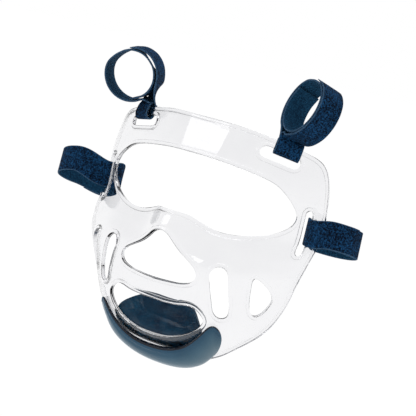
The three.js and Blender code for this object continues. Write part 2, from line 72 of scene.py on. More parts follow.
OUTLINE = [
    (0, 72.2), (16, 72), (31, 71.2), (46, 69.2), (62, 66.6), (78, 63.4), (89, 60.4), (96.5, 56),
    (102.5, 48.5), (106.5, 39), (109, 28), (109.5, 16), (108.6, 2), (107.2, -12), (106.2, -26),
    (104.4, -40), (100.6, -52), (95, -63), (87, -72.5), (77, -80.5), (66, -87.5), (54, -94),
    (40, -99), (22, -102), (0, -103)]
EYE_TOP = [(0, 46.2), (20, 45.2), (38, 43), (54, 40.4), (66, 37.2), (75, 31.6), (82, 25), (86, 18.5)]
EYE_LOW = [(85, 12), (80, 7), (72, 2.6), (62, -0.6), (50, -2.9), (38, -3.6), (28, -2.4), (20, 0.2), (12, 3.2), (0, 4.4)]
VENT = [(0, -10.2), (5.5, -12), (10.5, -17), (16, -22.2), (23, -27), (29, -31.4), (31.5, -36), (29.5, -41.4), (22, -44.4), (11, -45.4), (0, -45.8)]
MOUTH_TOP = [(0, -61), (10, -61.2), (20, -60.6), (28, -59.2), (33.5, -60.2), (38, -63.6)]
MOUTH_LOW = [(40.8, -68), (38.4, -73.6), (32, -79.4), (22.5, -84.8), (12, -87.8), (0, -88.6)]
CHEEK = [(43.2, -27), (48, -26), (52.4, -28.8), (54.8, -36), (56.4, -45), (58.2, -55), (57.4, -61.8), (52, -63.8), (47.2, -60.6), (44.6, -51), (42.2, -41), (40.4, -32)]
OUTER_VENT = [(72.4, -29.2), (76.4, -30), (83.4, -34.6), (88.2, -39.4), (90, -44.6), (87.6, -50.2), (82.4, -56.4), (77.6, -58), (74.2, -54.6), (72.6, -48), (72, -38)]
TOP_SLOT = dict(a=(50.5, 58.3), b=(74.0, 54.3), r=4.1)
SIDE_SLOT = dict(a=(95.4, -6.0), b=(95.4, 21.0), r=3.1)
BUMPER = [(0, -93.6), (12, -92.8), (22, -90), (31, -85.2), (40, -78), (46, -72.4), (50.6, -71.2), (54.4, -75), (55, -82), (51.4, -89.4), (43.4, -96), (33, -101.8), (19, -105.8), (0, -107)]
BUMPER_SET = dict(wide=0.975, curl=1.3, lean=-0.2, ds=3.6, dz=-1.9, turn=0.067, swell=0.38, taper=0.93)
PAD = [(0, -73.6), (14, -73.2), (27, -72.8), (34.5, -74.6), (39, -78.4), (41.2, -83), (40.6, -88.6), (35.5, -93.6), (24, -98.6), (0, -100.6)]
LAP_GAP = 0.55
LEAN_TO = (0.433, -0.891, 0.136)
TOP_LOOPS = [
    dict(name="strap_top_right", sx=1, bar=65.6, neck=19.5, width=18.8, radius=22.2, fork=(-21, 21), inner_from=-118, outer_to=184, sag=0,
         centre=(67.6, 35.9, 92.4), axis=(-0.58, -0.755, 0.307)),
    dict(name="strap_top_left", sx=-1, bar=66.9, neck=15.5, width=20, radius=20.1, fork=(2, 42), inner_from=-24, outer_to=160, sag=3.4,
         centre=(-73.9, 27, 87.8), axis=(0.228, -0.97, -0.081))]
SIDE_LOOPS = [
    dict(name="strap_side_right", sx=1, c=(16.4, 12.6), a=19.7, b=20.2, turn=26, tilt=14.5, seat=1.2, lift=0, slot=192, lap_from=250),
    dict(name="strap_side_left", sx=-1, c=(-20.1, 3.6), a=24.2, b=17.6, turn=26, tilt=24, seat=0, lift=5.6, slot=-47, lap_from=20)]


# ------------------------------------------------------------------- surface
def read_table(table, z, k):
    t = np.asarray(table, float)
    zs, v, n = t[:, 0], t[:, k], len(t)
    z = np.asarray(z, float)
    i = np.clip(np.searchsorted(zs, z, side="left") - 1, 0, n - 2)
    a, b = np.maximum(np.arange(n) - 1, 0), np.minimum(np.arange(n) + 1, n - 1)
    slope = (v[b] - v[a]) / (zs[b] - zs[a])
    h = zs[i + 1] - zs[i]
    u = (z - zs[i]) / h
    m0, m1, u2, u3 = slope[i] * h, slope[i + 1] * h, u * u, u ** 3
    return (2 * u3 - 3 * u2 + 1) * v[i] + (u3 - 2 * u2 + u) * m0 + (-2 * u3 + 3 * u2) * v[i + 1] + (u3 - u2) * m1


def wall_turn(z):
    r = math.pi / 180
    p, q, w = (read_table(WALL_TURN, z, k) * r / d for k, d in ((1, 30), (2, 60), (3, 100)))
    d1, d2 = (q - p) / 30, (w - q) / 40
    g2 = (d2 - d1) / 70
    g1 = d1 - g2 * 90
    return p - g1 * 30 - g2 * 900, g1, g2


def surface(s, z):
    s, z = np.asarray(s, float), np.asarray(z, float)
    g0, g1, g2 = wall_turn(z)
    a, N = np.abs(s), 16
    h = a / N
    x, y = np.zeros_like(a), np.zeros_like(a)
    for i in range(N + 1):
        u = i * h
        th = u * (g0 + u * (g1 + u * g2))
        w = 1 if i in (0, N) else (4 if i % 2 else 2)
        x += w * np.cos(th)
        y += w * np.sin(th)
    x *= h / 3 * np.where(s < 0, -1, 1)
    y *= h / 3
    bump = NOSE["rise"] * np.exp(-((s / NOSE["s"]) ** 2) - ((z - NOSE["z"]) / NOSE["h"]) ** 2)
    return np.stack([x, y + read_table(CENTRE_LINE, z, 1) - bump, z], -1)


def unit(v):
    return v / np.linalg.norm(v, axis=-1, keepdims=True)


def frames(s, z):
    e = 0.05
    p = surface(s, z)
    ts = unit(surface(s + e, z) - surface(s - e, z))
    tz = unit(surface(s, z + e) - surface(s, z - e))
    return p, ts, tz, unit(np.cross(ts, tz))


def lifted(s, z, h):
    s, z = np.asarray(s, float), np.asarray(z, float)
    p, _, _, n = frames(s, z)
    return p + n * np.broadcast_to(np.asarray(h, float), s.shape)[..., None]


# ------------------------------------------------------------ plane outlines
def catmull(points, closed, step=None, count=None):
    """Even steps along a centripetal Catmull-Rom curve."""
    P = np.asarray(points, float)
    n = len(P)
    fine = []
    segs = n if closed else n - 1
    for i in range(segs):
        p1, p2 = P[i % n], P[(i + 1) % n]
        p0 = P[(i - 1) % n] if (closed or i > 0) else 2 * P[0] - P[1]
        p3 = P[(i + 2) % n] if (closed or i + 2 < n) else 2 * P[-1] - P[-2]
        dt = [max(1e-4, np.sum((b - a) ** 2) ** 0.25) for a, b in ((p0, p1), (p1, p2), (p2, p3))]
        t1 = ((p1 - p0) / dt[0] - (p2 - p0) / (dt[0] + dt[1]) + (p2 - p1) / dt[1]) * dt[1]
        t2 = ((p2 - p1) / dt[1] - (p3 - p1) / (dt[1] + dt[2]) + (p3 - p2) / dt[2]) * dt[1]
        u = (np.arange(64) / 64)[:, None]
        fine.append(p1 + t1 * u + (-3 * p1 + 3 * p2 - 2 * t1 - t2) * u ** 2 + (2 * p1 - 2 * p2 + t1 + t2) * u ** 3)
    fine = np.concatenate(fine + ([P[:1]] if closed else [P[-1:]]))
    L = np.concatenate([[0], np.cumsum(np.linalg.norm(np.diff(fine, axis=0), axis=1))])
    m = count or max(8, int(round(L[-1] / step)))
    t = np.linspace(0, L[-1], m + 1)
    out = np.stack([np.interp(t, L, fine[:, k]) for k in range(fine.shape[1])], 1)
    return out[:-1] if closed else out


def mirrored(half):
    return list(half) + [(-s, z) for s, z in reversed(half[1:-1])]


def flip(loop):
    return (loop * np.array([-1.0, 1.0]))[::-1]


def slot_loop(a, b, r, step):
    a, b = np.array(a, float), np.array(b, float)
    L = np.linalg.norm(b - a)
    u = (b - a) / L
    v = np.array([-u[1], u[0]])
    nl, na = int(round(L / step)), int(round(math.pi * r / step))
    t = np.arange(nl)[:, None] / nl
    g = (-math.pi / 2 + math.pi * np.arange(na) / na)[:, None]
    arc = lambda c, s: c + s * r * (np.cos(g) * u + np.sin(g) * v)
    return np.concatenate([a + (b - a) * t - v * r, arc(b, 1), b - (b - a) * t + v * r, arc(a, -1)])


def area(l):
    q = np.roll(l, -1, 0)
    return float(np.sum(l[:, 0] * q[:, 1] - q[:, 0] * l[:, 1])) / 2


def oriented(l, ccw):
    return l if (area(l) > 0) == ccw else l[::-1]


def relaxed(l, times):
    for _ in range(times):
        l = (np.roll(l, 1, 0) + 2 * l + np.roll(l, -1, 0)) / 4
    return l


def inset(l, d):
    t = unit(np.roll(l, -1, 0) - np.roll(l, 1, 0))
    return l + np.stack([-t[:, 1], t[:, 0]], 1) * d


def inside(l, pts):
    x, y = pts[:, 0], pts[:, 1]
    c = np.zeros(len(pts), bool)
    a, b = l, np.roll(l, 1, 0)
    for (xi, yi), (xj, yj) in zip(a, b):
        if yi == yj:
            continue
        m = (yi > y) != (yj > y)
        c[m] ^= x[m] < (xj - xi) * (y[m] - yi) / (yj - yi) + xi
    return c


def nearest(loops):
    pts = []
    for l in loops:
        nxt = np.roll(l, -1, 0)
        for t in (0, 0.25, 0.5, 0.75):
            pts.append(l * (1 - t) + nxt * t)
    pts = np.concatenate(pts)
    tree = kdtree.KDTree(len(pts))
    for i, (x, y) in enumerate(pts):
        tree.insert((x, y, 0), i)
    tree.balance()
    return lambda q: np.array([tree.find((x, y, 0))[2] for x, y in q])


def triangulate(loops, grid, margin):
    """Triangles of the area between loops, the first the outside: points, ring indices, faces."""
    pts, rings, edges = [], [], []
    for l in loops:
        k = len(pts)
        pts += [tuple(p) for p in l]
        ring = list(range(k, k + len(l)))
        rings.append(ring)
        edges += [(ring[i], ring[(i + 1) % len(ring)]) for i in range(len(ring))]
    lo, hi = loops[0].min(0), loops[0].max(0)
    rows = np.arange(hi[1] - grid / 2, lo[1], -grid * 0.8660254)
    half = int(max(abs(lo[0]), abs(hi[0])) / grid) + 2
    cand = np.concatenate([np.stack([(np.arange(-half, half + 1) + (0.5 if i % 2 else 0)) * grid, np.full(2 * half + 1, y)], 1) for i, y in enumerate(rows)])
    keep = inside(loops[0], cand)
    for l in loops[1:]:
        keep &= ~inside(l, cand)
    cand = cand[keep]
    cand = cand[nearest(loops)(cand) > margin]
    pts += [tuple(p) for p in cand]
    v, _, f, ov, _, _ = delaunay_2d_cdt([Vector(p) for p in pts], edges, [], 0, 1e-6)
    P = np.array([(p.x, p.y) for p in v])
    where = {}
    for i, o in enumerate(ov):
        for k in o:
            where[k] = i
    rings = [[where[k] for k in r] for r in rings]
    F = np.array([t for t in f if len(t) == 3])
    c = P[F].mean(1)
    ok = inside(loops[0], c)
    for l in loops[1:]:
        ok &= ~inside(l, c)
    F = F[ok]
    a, b, d = P[F[:, 0]], P[F[:, 1]], P[F[:, 2]]
    A = (b[:, 0] - a[:, 0]) * (d[:, 1] - a[:, 1]) - (d[:, 0] - a[:, 0]) * (b[:, 1] - a[:, 1])
    F[A < 0] = F[A < 0][:, ::-1]
    return P, rings, F[np.abs(A) > 1e-9]


def mesh_object(name, verts, faces, uvs=None, mats=(), face_mat=None, smooth=True):
    me = bpy.data.meshes.new(name)
    me.from_pydata([tuple(v) for v in np.asarray(verts) * MM], [], [tuple(int(i) for i in f) for f in faces])
    me.validate()
    if uvs is not None:
        layer = me.uv_layers.new(name="UVMap")
        idx = np.zeros(len(me.loops), np.int32)
        me.loops.foreach_get("vertex_index", idx)
        layer.data.foreach_set("uv", np.asarray(uvs, np.float32)[idx].ravel())
    me.polygons.foreach_set("use_smooth", [smooth] * len(me.polygons))
    for m in mats:
        me.materials.append(m)
    if face_mat is not None:
        me.polygons.foreach_set("material_index", np.asarray(face_mat, np.int32))
    me.update()
    o = bpy.data.objects.new(name, me)
    bpy.context.scene.collection.objects.link(o)
    return o


def plate(edge_loops, rim, grid, margin, front, back, wall, steps=()):
    """A closed plate on the surface. wall is a list of (inset, mix): rings of points from
    the front face (mix 0) round the edge to the back face (mix 1). steps are further rings
    on both faces, from the widest inset out to the rim, where the faces change height fast."""
    loops = [oriented(l, i == 0) for i, l in enumerate(edge_loops)]
    first = steps[0] if steps else rim
    inner = [inset(l, first) for l in loops]
    P, rings, F = triangulate(inner, grid, margin)
    dist = nearest(loops)
    d = dist(P)
    s, z = P[:, 0], P[:, 1]
    verts = [lifted(s, z, front(s, z, d)), lifted(s, z, back(s, z, d))]
    flat = [P, P]
    nP = len(P)
    faces = [tuple(t) for t in F] + [(t[0] + nP, t[2] + nP, t[1] + nP) for t in F]
    count = 2 * nP
    for loop, ring in zip(loops, rings):
        cols = [list(ring)]

        def face_ring(move, height):
            nonlocal count
            l = inset(loop, move)
            verts.append(lifted(l[:, 0], l[:, 1], height(l[:, 0], l[:, 1], np.full(len(l), move))))
            flat.append(l)
            cols.append(list(range(count, count + len(l))))
            count += len(l)

        rest = (*steps[1:], rim) if steps else ()
        for move in rest:
            face_ring(move, front)
        inn = inset(loop, rim)
        rd = np.full(len(loop), rim)
        hf, hb = front(inn[:, 0], inn[:, 1], rd), back(inn[:, 0], inn[:, 1], rd)
        for move, mix in wall:
            l = inset(loop, move)
            verts.append(lifted(l[:, 0], l[:, 1], hf * (1 - mix) + hb * mix))
            flat.append(l)
            cols.append(list(range(count, count + len(l))))
            count += len(l)
        for move in reversed(rest):
            face_ring(move, back)
        cols.append([i + nP for i in ring])
        n = len(ring)
        for c in range(len(cols) - 1):
            for i in range(n):
                j = (i + 1) % n
                faces.append((cols[c][j], cols[c][i], cols[c + 1][i], cols[c + 1][j]))
    V = np.concatenate(verts)
    return V, faces, np.concatenate(flat)


def outward(V, faces):
    vol = 0.0
    for f in faces:
        a = V[f[0]]
        for i in range(1, len(f) - 1):
            vol += np.dot(a, np.cross(V[f[i]], V[f[i + 1]]))
    return faces if vol > 0 else [tuple(reversed(f)) for f in faces]


def round_wall(rim, n, front_share=0.0):
    """A half round edge: rim is both the inset and half the height."""
    return [(rim * (1 - math.sin(math.pi * k / n)), 0.5 - 0.5 * math.cos(math.pi * k / n)) for k in range(1, n)]


# ----------------------------------------------------------------- materials
def new_material(name):
    m = bpy.data.materials.new(name)
    m.use_nodes = True
    nt = m.node_tree
    nt.nodes.clear()
    out = nt.nodes.new("ShaderNodeOutputMaterial")
    bsdf = nt.nodes.new("ShaderNodeBsdfPrincipled")
    nt.links.new(bsdf.outputs[0], out.inputs["Surface"])
    return m, nt, bsdf, out


def node(nt, kind, **inputs):
    n = nt.nodes.new(kind)
    for k, v in inputs.items():
        if k.startswith("_"):
            setattr(n, k[1:], v)
        else:
            n.inputs[k.replace("__", " ")].default_value = v
    return n


def ramp(nt, fac, stops):
    n = nt.nodes.new("ShaderNodeValToRGB")
    r = n.color_ramp
    while len(r.elements) < len(stops):
        r.elements.new(0.5)
    for e, (pos, col) in zip(r.elements, stops):
        e.position = pos
        e.color = (*col, 1) if len(col) == 3 else col
    nt.links.new(fac, n.inputs[0])
    return n.outputs[0]


def mapped(nt, scale, coords="Object"):
    tc = nt.nodes.new("ShaderNodeTexCoord")
    mp = nt.nodes.new("ShaderNodeMapping")
    mp.inputs["Scale"].default_value = scale
    nt.links.new(tc.outputs[coords], mp.inputs["Vector"])
    return mp.outputs[0]


def math_node(nt, op, a, b=None, c=None):
    n = nt.nodes.new("ShaderNodeMath")
    n.operation = op
    for i, v in enumerate((a, b, c)):
        if v is None:
            continue
        if isinstance(v, (int, float)):
            n.inputs[i].default_value = v
        else:
            nt.links.new(v, n.inputs[i])
    return n.outputs[0]


def clear_material():
    """Clear moulded polycarbonate: a faint smoke tint, handling haze, hair scratches, slow moulding waves."""
    m, nt, b, out = new_material("clear_polycarbonate")
    v = mapped(nt, (1, 1, 1))
    haze = node(nt, "ShaderNodeTexNoise", Scale=38.0, Detail=4.0, Roughness=0.6)
    nt.links.new(v, haze.inputs["Vector"])
    tint = ramp(nt, haze.outputs["Fac"], [(0.3, (0.875, 0.875, 0.89)), (0.7, (0.905, 0.905, 0.915))])
    nt.links.new(tint, b.inputs["Base Color"])
    b.inputs["Transmission Weight"].default_value = 1.0
    b.inputs["IOR"].default_value = 1.5
    scr = mapped(nt, (900, 40, 700))
    line = node(nt, "ShaderNodeTexNoise", Scale=1.0, Detail=2.0)
    nt.links.new(scr, line.inputs["Vector"])
    thin = math_node(nt, "SMOOTH_MIN", math_node(nt, "MULTIPLY", math_node(nt, "ABSOLUTE", math_node(nt, "SUBTRACT", line.outputs["Fac"], 0.5)), 30.0), 1.0, 0.1)
    scratch = math_node(nt, "SUBTRACT", 1.0, thin)
    rough = math_node(nt, "ADD", math_node(nt, "MULTIPLY", math_node(nt, "POWER", haze.outputs["Fac"], 3.0), 0.05), math_node(nt, "MULTIPLY", scratch, 0.012))
    nt.links.new(rough, b.inputs["Roughness"])
    wave = node(nt, "ShaderNodeTexNoise", Scale=16.0, Detail=1.0)
    nt.links.new(v, wave.inputs["Vector"])
    bump = node(nt, "ShaderNodeBump", Strength=0.04, Distance=0.0004)
    nt.links.new(wave.outputs["Fac"], bump.inputs["Height"])
    nt.links.new(bump.outputs[0], b.inputs["Normal"])
    vol = node(nt, "ShaderNodeVolumeAbsorption", Color=(0.18, 0.21, 0.26, 1), Density=5.0)
    nt.links.new(vol.outputs[0], out.inputs["Volume"])
    return m


def coated_material(name, dark, light, rough, coat, haze, edge=None):
    """Smooth coated foam: a satin skin with a fine grain, soft mottling and a hazy bloom at
    grazing angles. With edge, the skin is darker down to that many millimetres below the
    moulded, rolled upper edge, a painted shade, and a little paler toward the lower edge, a painted reflection of the
    bright floor."""
    m, nt, b, out = new_material(name)
    v = mapped(nt, (1, 1, 1))
    big = node(nt, "ShaderNodeTexNoise", Scale=45.0, Detail=3.0, Roughness=0.55)
    nt.links.new(v, big.inputs["Vector"])
    fine = node(nt, "ShaderNodeTexNoise", Scale=900.0, Detail=3.0, Roughness=0.6)
    nt.links.new(v, fine.inputs["Vector"])
    cell = node(nt, "ShaderNodeTexVoronoi", Scale=1500.0)
    nt.links.new(v, cell.inputs["Vector"])
    mottle = math_node(nt, "ADD", math_node(nt, "MULTIPLY", big.outputs["Fac"], 0.7), math_node(nt, "MULTIPLY", fine.outputs["Fac"], 0.3))
    col = ramp(nt, mottle, [(0.34, dark), (0.68, light)])
    if edge:
        uv = nt.nodes.new("ShaderNodeTexCoord")
        sep = nt.nodes.new("ShaderNodeSeparateXYZ")
        nt.links.new(uv.outputs["UV"], sep.inputs[0])
        down = math_node(nt, "ADD", sep.outputs[1], math_node(nt, "MULTIPLY", math_node(nt, "SUBTRACT", big.outputs["Fac"], 0.5), 1.6))
        # painted shade toward the upper edge and a painted pale reflection of the floor toward the lower edge
        painted_shade_and_reflection = ramp(nt, math_node(nt, "DIVIDE", down, 15.0), edge)
        mul = node(nt, "ShaderNodeVectorMath", _operation="MULTIPLY")
        nt.links.new(col, mul.inputs[0])
        nt.links.new(painted_shade_and_reflection, mul.inputs[1])
        col = mul.outputs[0]
    nt.links.new(col, b.inputs["Base Color"])
    r = math_node(nt, "ADD", rough - 0.06, math_node(nt, "MULTIPLY", big.outputs["Fac"], 0.12))
    nt.links.new(r, b.inputs["Roughness"])
    b.inputs["Coat Weight"].default_value = coat
    b.inputs["Coat Roughness"].default_value = 0.14
    b.inputs["IOR"].default_value = 1.3
    b.inputs["Sheen Weight"].default_value = haze
    b.inputs["Sheen Roughness"].default_value = 0.28
    b.inputs["Sheen Tint"].default_value = (0.86, 0.93, 1.0, 1)
    h = math_node(nt, "ADD", math_node(nt, "MULTIPLY", fine.outputs["Fac"], 0.5), math_node(nt, "MULTIPLY", cell.outputs["Distance"], 0.5))
    bump = node(nt, "ShaderNodeBump", Strength=0.22, Distance=0.0002)
    nt.links.new(h, bump.inputs["Height"])
    nt.links.new(bump.outputs[0], b.inputs["Normal"])
    return m


def web_material(name, dark, light, sheen, pile=True, scale=1.0):
    """Napped webbing. The UV map is in millimetres: u along the tape, v across it."""
    m, nt, b, out = new_material(name)
    tc = nt.nodes.new("ShaderNodeTexCoord")
    uv = tc.outputs["UV"]
    sep = nt.nodes.new("ShaderNodeSeparateXYZ")
    nt.links.new(uv, sep.inputs[0])
    u, w = sep.outputs[0], sep.outputs[1]
    obj = mapped(nt, (1, 1, 1))
    tuft = node(nt, "ShaderNodeTexNoise", Scale=900.0 * scale, Detail=2.0, Roughness=0.55)
    nt.links.new(obj, tuft.inputs["Vector"])
    clump = node(nt, "ShaderNodeTexNoise", Scale=420.0 * scale, Detail=3.0, Roughness=0.6)
    nt.links.new(obj, clump.inputs["Vector"])
    patch = node(nt, "ShaderNodeTexNoise", Scale=75.0, Detail=2.0)
    nt.links.new(obj, patch.inputs["Vector"])
    # weave: ribs across the tape, offset like a plain weave
    k = 2 * math.pi / 0.9
    ribs = math_node(nt, "MULTIPLY", math_node(nt, "SINE", math_node(nt, "MULTIPLY", u, k)), math_node(nt, "SINE", math_node(nt, "MULTIPLY", w, k)))
    weave = math_node(nt, "ADD", math_node(nt, "MULTIPLY", ribs, 0.5), 0.5)
    mix = math_node(nt, "ADD", math_node(nt, "MULTIPLY", tuft.outputs["Fac"], 0.66), math_node(nt, "ADD", math_node(nt, "MULTIPLY", clump.outputs["Fac"], 0.2), math_node(nt, "MULTIPLY", patch.outputs["Fac"], 0.14)))
    if not pile:
        mix = math_node(nt, "ADD", math_node(nt, "MULTIPLY", mix, 0.62), math_node(nt, "MULTIPLY", weave, 0.38))
    col = ramp(nt, mix, [(0.41, dark), (0.5, tuple(0.7 * a + 0.3 * c for a, c in zip(dark, light))), (0.62, light)])
    nt.links.new(col, b.inputs["Base Color"])
    b.inputs["Roughness"].default_value = 0.88
    b.inputs["Specular IOR Level"].default_value = 0.08
    b.inputs["Sheen Weight"].default_value = sheen
    b.inputs["Sheen Roughness"].default_value = 0.45
    b.inputs["Sheen Tint"].default_value = (0.35, 0.62, 0.85, 1)
    h = math_node(nt, "ADD", math_node(nt, "MULTIPLY", tuft.outputs["Fac"], 0.6), math_node(nt, "MULTIPLY", weave, 0.4 if not pile else 0.12))
    bump = node(nt, "ShaderNodeBump", Strength=0.75, Distance=0.00035)
    nt.links.new(h, bump.inputs["Height"])
    nt.links.new(bump.outputs[0], b.inputs["Normal"])
    return m


clear = clear_material()
# the last ramp paints shade below the upper edge and a pale floor reflection toward the lower edge
slate = coated_material("coated_foam_slate", (0.86, 0.86, 0.86), (1.0, 1.0, 1.0), 0.45, 0.08, 0.7,
                        [(0.0, (0.014, 0.066, 0.125)), (0.15, (0.026, 0.084, 0.14)), (0.5, (0.055, 0.122, 0.172)), (0.85, (0.1, 0.168, 0.212)), (1.0, (0.12, 0.185, 0.228))])
# a near-black, glossier copy of the foam skin: its dark colour is painted shade for the up-facing top wall
roll = coated_material("coated_foam_painted_shade", (0.0005, 0.0018, 0.006), (0.0018, 0.008, 0.02), 0.16, 0.3, 0.0)
ink = coated_material("coated_foam_ink", (0.0006, 0.008, 0.024), (0.006, 0.055, 0.105), 0.24, 0.06, 0.0)
nap = web_material("webbing_nap", (0.0003, 0.0014, 0.006), (0.009, 0.062, 0.16), 0.01)
hook = web_material("webbing_inner", (0.0008, 0.008, 0.026), (0.016, 0.095, 0.19), 0.01, pile=False)
# the selvedge faces are paler than the nap: a painted highlight along the tape's edges
edge_highlight = web_material("webbing_edge_highlight", (0.006, 0.02, 0.05), (0.07, 0.15, 0.25), 0.03, pile=False, scale=1.4)


# --------------------------------------------------------------- clear shell
def bead(d):
    t = np.clip((np.asarray(d, float) - RIM_W + 0.3) / 0.6, 0, 1)
    return RIM_BEAD * (1 - t * t * (3 - 2 * t))


def edge_wall(r, thick):
    """A flat wall between two small edge radii."""
    arc = [(r * (1 - math.sin(a)), r * (1 - math.cos(a)) / thick) for a in (math.pi * k / 8 for k in (1, 2, 3, 4))]
    return arc + [(0.0, 0.5)] + [(m, 1 - h) for m, h in reversed(arc)]


STEP = 1.1
eye = catmull(mirrored(EYE_TOP + EYE_LOW), True, STEP)
vent = catmull(mirrored(VENT), True, STEP)
mouth = catmull(mirrored(MOUTH_TOP + MOUTH_LOW), True, STEP)
cheek = catmull(CHEEK, True, 0.9)
outer_vent = catmull(OUTER_VENT, True, 0.9)
top_slot = slot_loop(TOP_SLOT["a"], TOP_SLOT["b"], TOP_SLOT["r"], 0.9)
side_slot = slot_loop(SIDE_SLOT["a"], SIDE_SLOT["b"], SIDE_SLOT["r"], 0.8)
rim_loops = [catmull(mirrored(OUTLINE), True, 1.3), eye, vent, mouth, cheek, flip(cheek),
             outer_vent, flip(outer_vent), top_slot, flip(top_slot), side_slot, flip(side_slot)]
rim_loops = [relaxed(l, 3) for l in rim_loops]
V, F, flat = plate(rim_loops, RIM_R, 1.9, 0.8, lambda s, z, d: bead(d), lambda s, z, d: -SHELL_T - bead(d),
                   edge_wall(RIM_R, SHELL_T + 2 * RIM_BEAD), (2.7, 2.45, 2.3, 2.15, 1.9))
shell = mesh_object("clear_shell", V, outward(V, F), mats=[clear])
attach(shell, "root")
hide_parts("face_shield")


# ------------------------------------------------------------ soft chin parts
def pillow(d, r):
    return np.sqrt(np.maximum(0, 1 - (1 - np.minimum(1, d / r)) ** 2))


def bumper_front(s, z, d):
    return PAD_GAP + 1.4 + (BUMPER_H - 1.4) * pillow(d, 7.5) * (1 - BUMPER_SET["taper"] * np.minimum(1, np.abs((s - BUMPER_SET["ds"]) / 54)) ** 2.2) * (1 + BUMPER_SET["swell"] * s / 54)


def askew(x, z):
    k = BUMPER_SET
    w = x * k["wide"]
    h = z + k["curl"] * (w / 50) ** 2
    s = w + k["lean"] * (h + 90) + k["ds"]
    return s, h + k["dz"] + k["turn"] * s


def open_distance(line):
    pts = np.concatenate([line[:-1] * (1 - t) + line[1:] * t for t in (0, 0.34, 0.67)] + [line[-1:]])
    tree = kdtree.KDTree(len(pts))
    for i, (x, y) in enumerate(pts):
        tree.insert((x, y, 0), i)
    tree.balance()
    return lambda s, z: np.array([tree.find((x, y, 0))[2] for x, y in zip(s, z)])


upper_edge = [(-x, z) for x, z in BUMPER[7:0:-1]] + BUMPER[:8]
from_top = open_distance(catmull([askew(x, z) for x, z in upper_edge], False, 0.6))


def ridged_front(s, z, d):
    """The pad's face with a rolled ridge along the upper edge and a groove below it."""
    u = from_top(np.ravel(s), np.ravel(z)).reshape(np.shape(s))
    ridge = 0.6 * np.exp(-((u - 0.9) / 0.6) ** 2) - 0.6 * np.exp(-((u - 2.1) / 0.6) ** 2)
    return bumper_front(s, z, d) + ridge * np.clip(np.asarray(d) / 1.1, 0, 1)


bumper_loop = relaxed(catmull([askew(x, z) for x, z in mirrored(BUMPER)], True, 1.2), 4)
V, F, flat = plate([bumper_loop], 0.5, 0.75, 0.45, ridged_front, lambda s, z, d: np.full_like(s, PAD_GAP + 0.2),
                   [(0.15, 0.12), (0.0, 0.4), (0.0, 0.7), (0.15, 0.92)])
across = from_top(flat[:, 0], flat[:, 1])       # UV in millimetres: along, and down from the upper edge
F = outward(V, F)
# faces within 0.5 mm of the upper edge take the near-black skin: painted shade on the top wall
rolled = [int(np.mean(across[list(f)]) < 0.5) for f in F]
bumper = mesh_object("chin_bumper_skin", V, F, uvs=np.stack([flat[:, 0], across], 1), mats=[slate, roll], face_mat=rolled)
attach(bumper, "root")
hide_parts("chin_bumper")


def bowl(s, z):
    t = np.clip((z + 88.8) / 15.2, 0, 1)
    depth = np.where(t < 0.34, 11.0 * (np.maximum(t, 1e-6) / 0.34) ** 0.9, 11.0 + 13.5 * (np.maximum(0, t - 0.34) / 0.66) ** 1.1)
    return depth * (1 - np.minimum(1, np.abs(s) / 43) ** 4)


low_mouth = [(-x, z) for x, z in MOUTH_LOW[:-1]] + MOUTH_LOW[::-1]
from_lip = open_distance(catmull(low_mouth, False, 0.6))
LEDGES = (0.6, 2.0, 3.4)


def ledges(s, z, d):
    """Three shallow moulded steps that follow the lower lip of the mouth opening,
    stronger on the wearer's right."""
    u = from_lip(np.ravel(s), np.ravel(z)).reshape(np.shape(s))
    rise = 0.0
    for at in LEDGES:
        t = np.clip((u - at) / 0.6 + 0.5, 0, 1)
        rise = rise + t * t * (3 - 2 * t)
    lip = np.interp(np.abs(s), [0, 12, 22.5, 32, 38.4], [-88.6, -87.8, -84.8, -79.4, -73.6])
    side = np.clip((20 - s) / 44, 0, 1)
    return np.where(z > lip, 1.0, 0.0) * 1.0 * rise * (0.35 + 0.65 * side) * np.clip(np.asarray(d) / 2.5, 0, 1)


def pad_front(s, z, d):
    return -(SHELL_T + PAD_GAP + bowl(s, z) + 1.4 * (1 - pillow(d, 4)) + ledges(s, z, d))


pad_loop = relaxed(catmull(mirrored(PAD), True, 1.3), 4)
V, F, flat = plate([pad_loop], 0.5, 0.65, 0.4, pad_front,
                   lambda s, z, d: pad_front(s, z, d) - 2.0 - (PAD_H - 2.0) * pillow(d, 8),
                   [(0.15, 0.12), (0.0, 0.36), (0.0, 0.64), (0.15, 0.88)])
F = outward(V, F)
pad = mesh_object("chin_pad_skin", V, F, mats=[ink])
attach(pad, "root")
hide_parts("chin_pad")


# ------------------------------------------------------------- webbing loops
def smooth(x):
    t = np.clip(x, 0, 1)
    return t * t * (3 - 2 * t)


def section():
    """Half outline of the tape's section: (across -1..1, height -1..1, kind) with rounded selvedges."""
    pts = []
    across = np.linspace(-1, 1, 15)
    for a in across[1:-1]:
        pts.append((a, 1.0, 0))
    for k in range(5):
        t = math.pi / 2 - math.pi * k / 4
        pts.append((1.0, math.sin(t), 2, math.cos(t)))
    for a in across[::-1][1:-1]:
        pts.append((a, -1.0, 1))
    for k in range(5):
        t = -math.pi / 2 - math.pi * k / 4
        pts.append((-1.0, math.sin(t), 2, math.cos(t)))
    return pts


